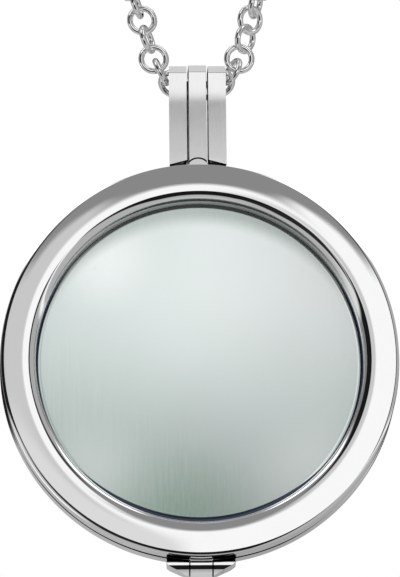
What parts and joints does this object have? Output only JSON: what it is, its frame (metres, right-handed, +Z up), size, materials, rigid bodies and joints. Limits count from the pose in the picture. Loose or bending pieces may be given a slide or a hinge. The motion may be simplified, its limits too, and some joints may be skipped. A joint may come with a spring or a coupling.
{
  "type": "coin holder pendant on a neck chain",
  "caption": "Round hinged ring frame that clamps a coin, with a strip bail, hanging on a closed loop of chain for the neck.",
  "frame": {"origin": "under the clasp at the top of the chain's loop, where it lies on the nape; the pendant hangs 281 mm below", "axes": "+X across the pendant, -Y its front face, +Z up along the hanging chain"},
  "size_m": [0.1184, 0.0054, 0.3063],
  "materials": {
    "chain_steel": "polished",
    "polished_steel": "mirror polished",
    "pin_steel": "turned",
    "coin_face": "pearly gloss"
  },
  "bodies": {
    "necklace": {"chain": "chain_steel", "clasp": "chain_steel"},
    "holder": {"back_frame": "polished_steel", "hinge_pin": "pin_steel", "coin": "coin_face"},
    "lid": {"front_frame": "polished_steel"}
  },
  "joints": [
    {"name": "pendant_swing", "type": "hinge", "parent": "necklace", "child": "holder", "pos_m": [0, 0, -0.25392], "axis": [1, 0, 0], "range_deg": [-60, 60]},
    {"name": "lid_hinge", "type": "hinge", "parent": "holder", "child": "lid", "pos_m": [0, 0.0003, -0.30155], "axis": [1, 0, 0], "range_deg": [0, 120]}
  ]
}
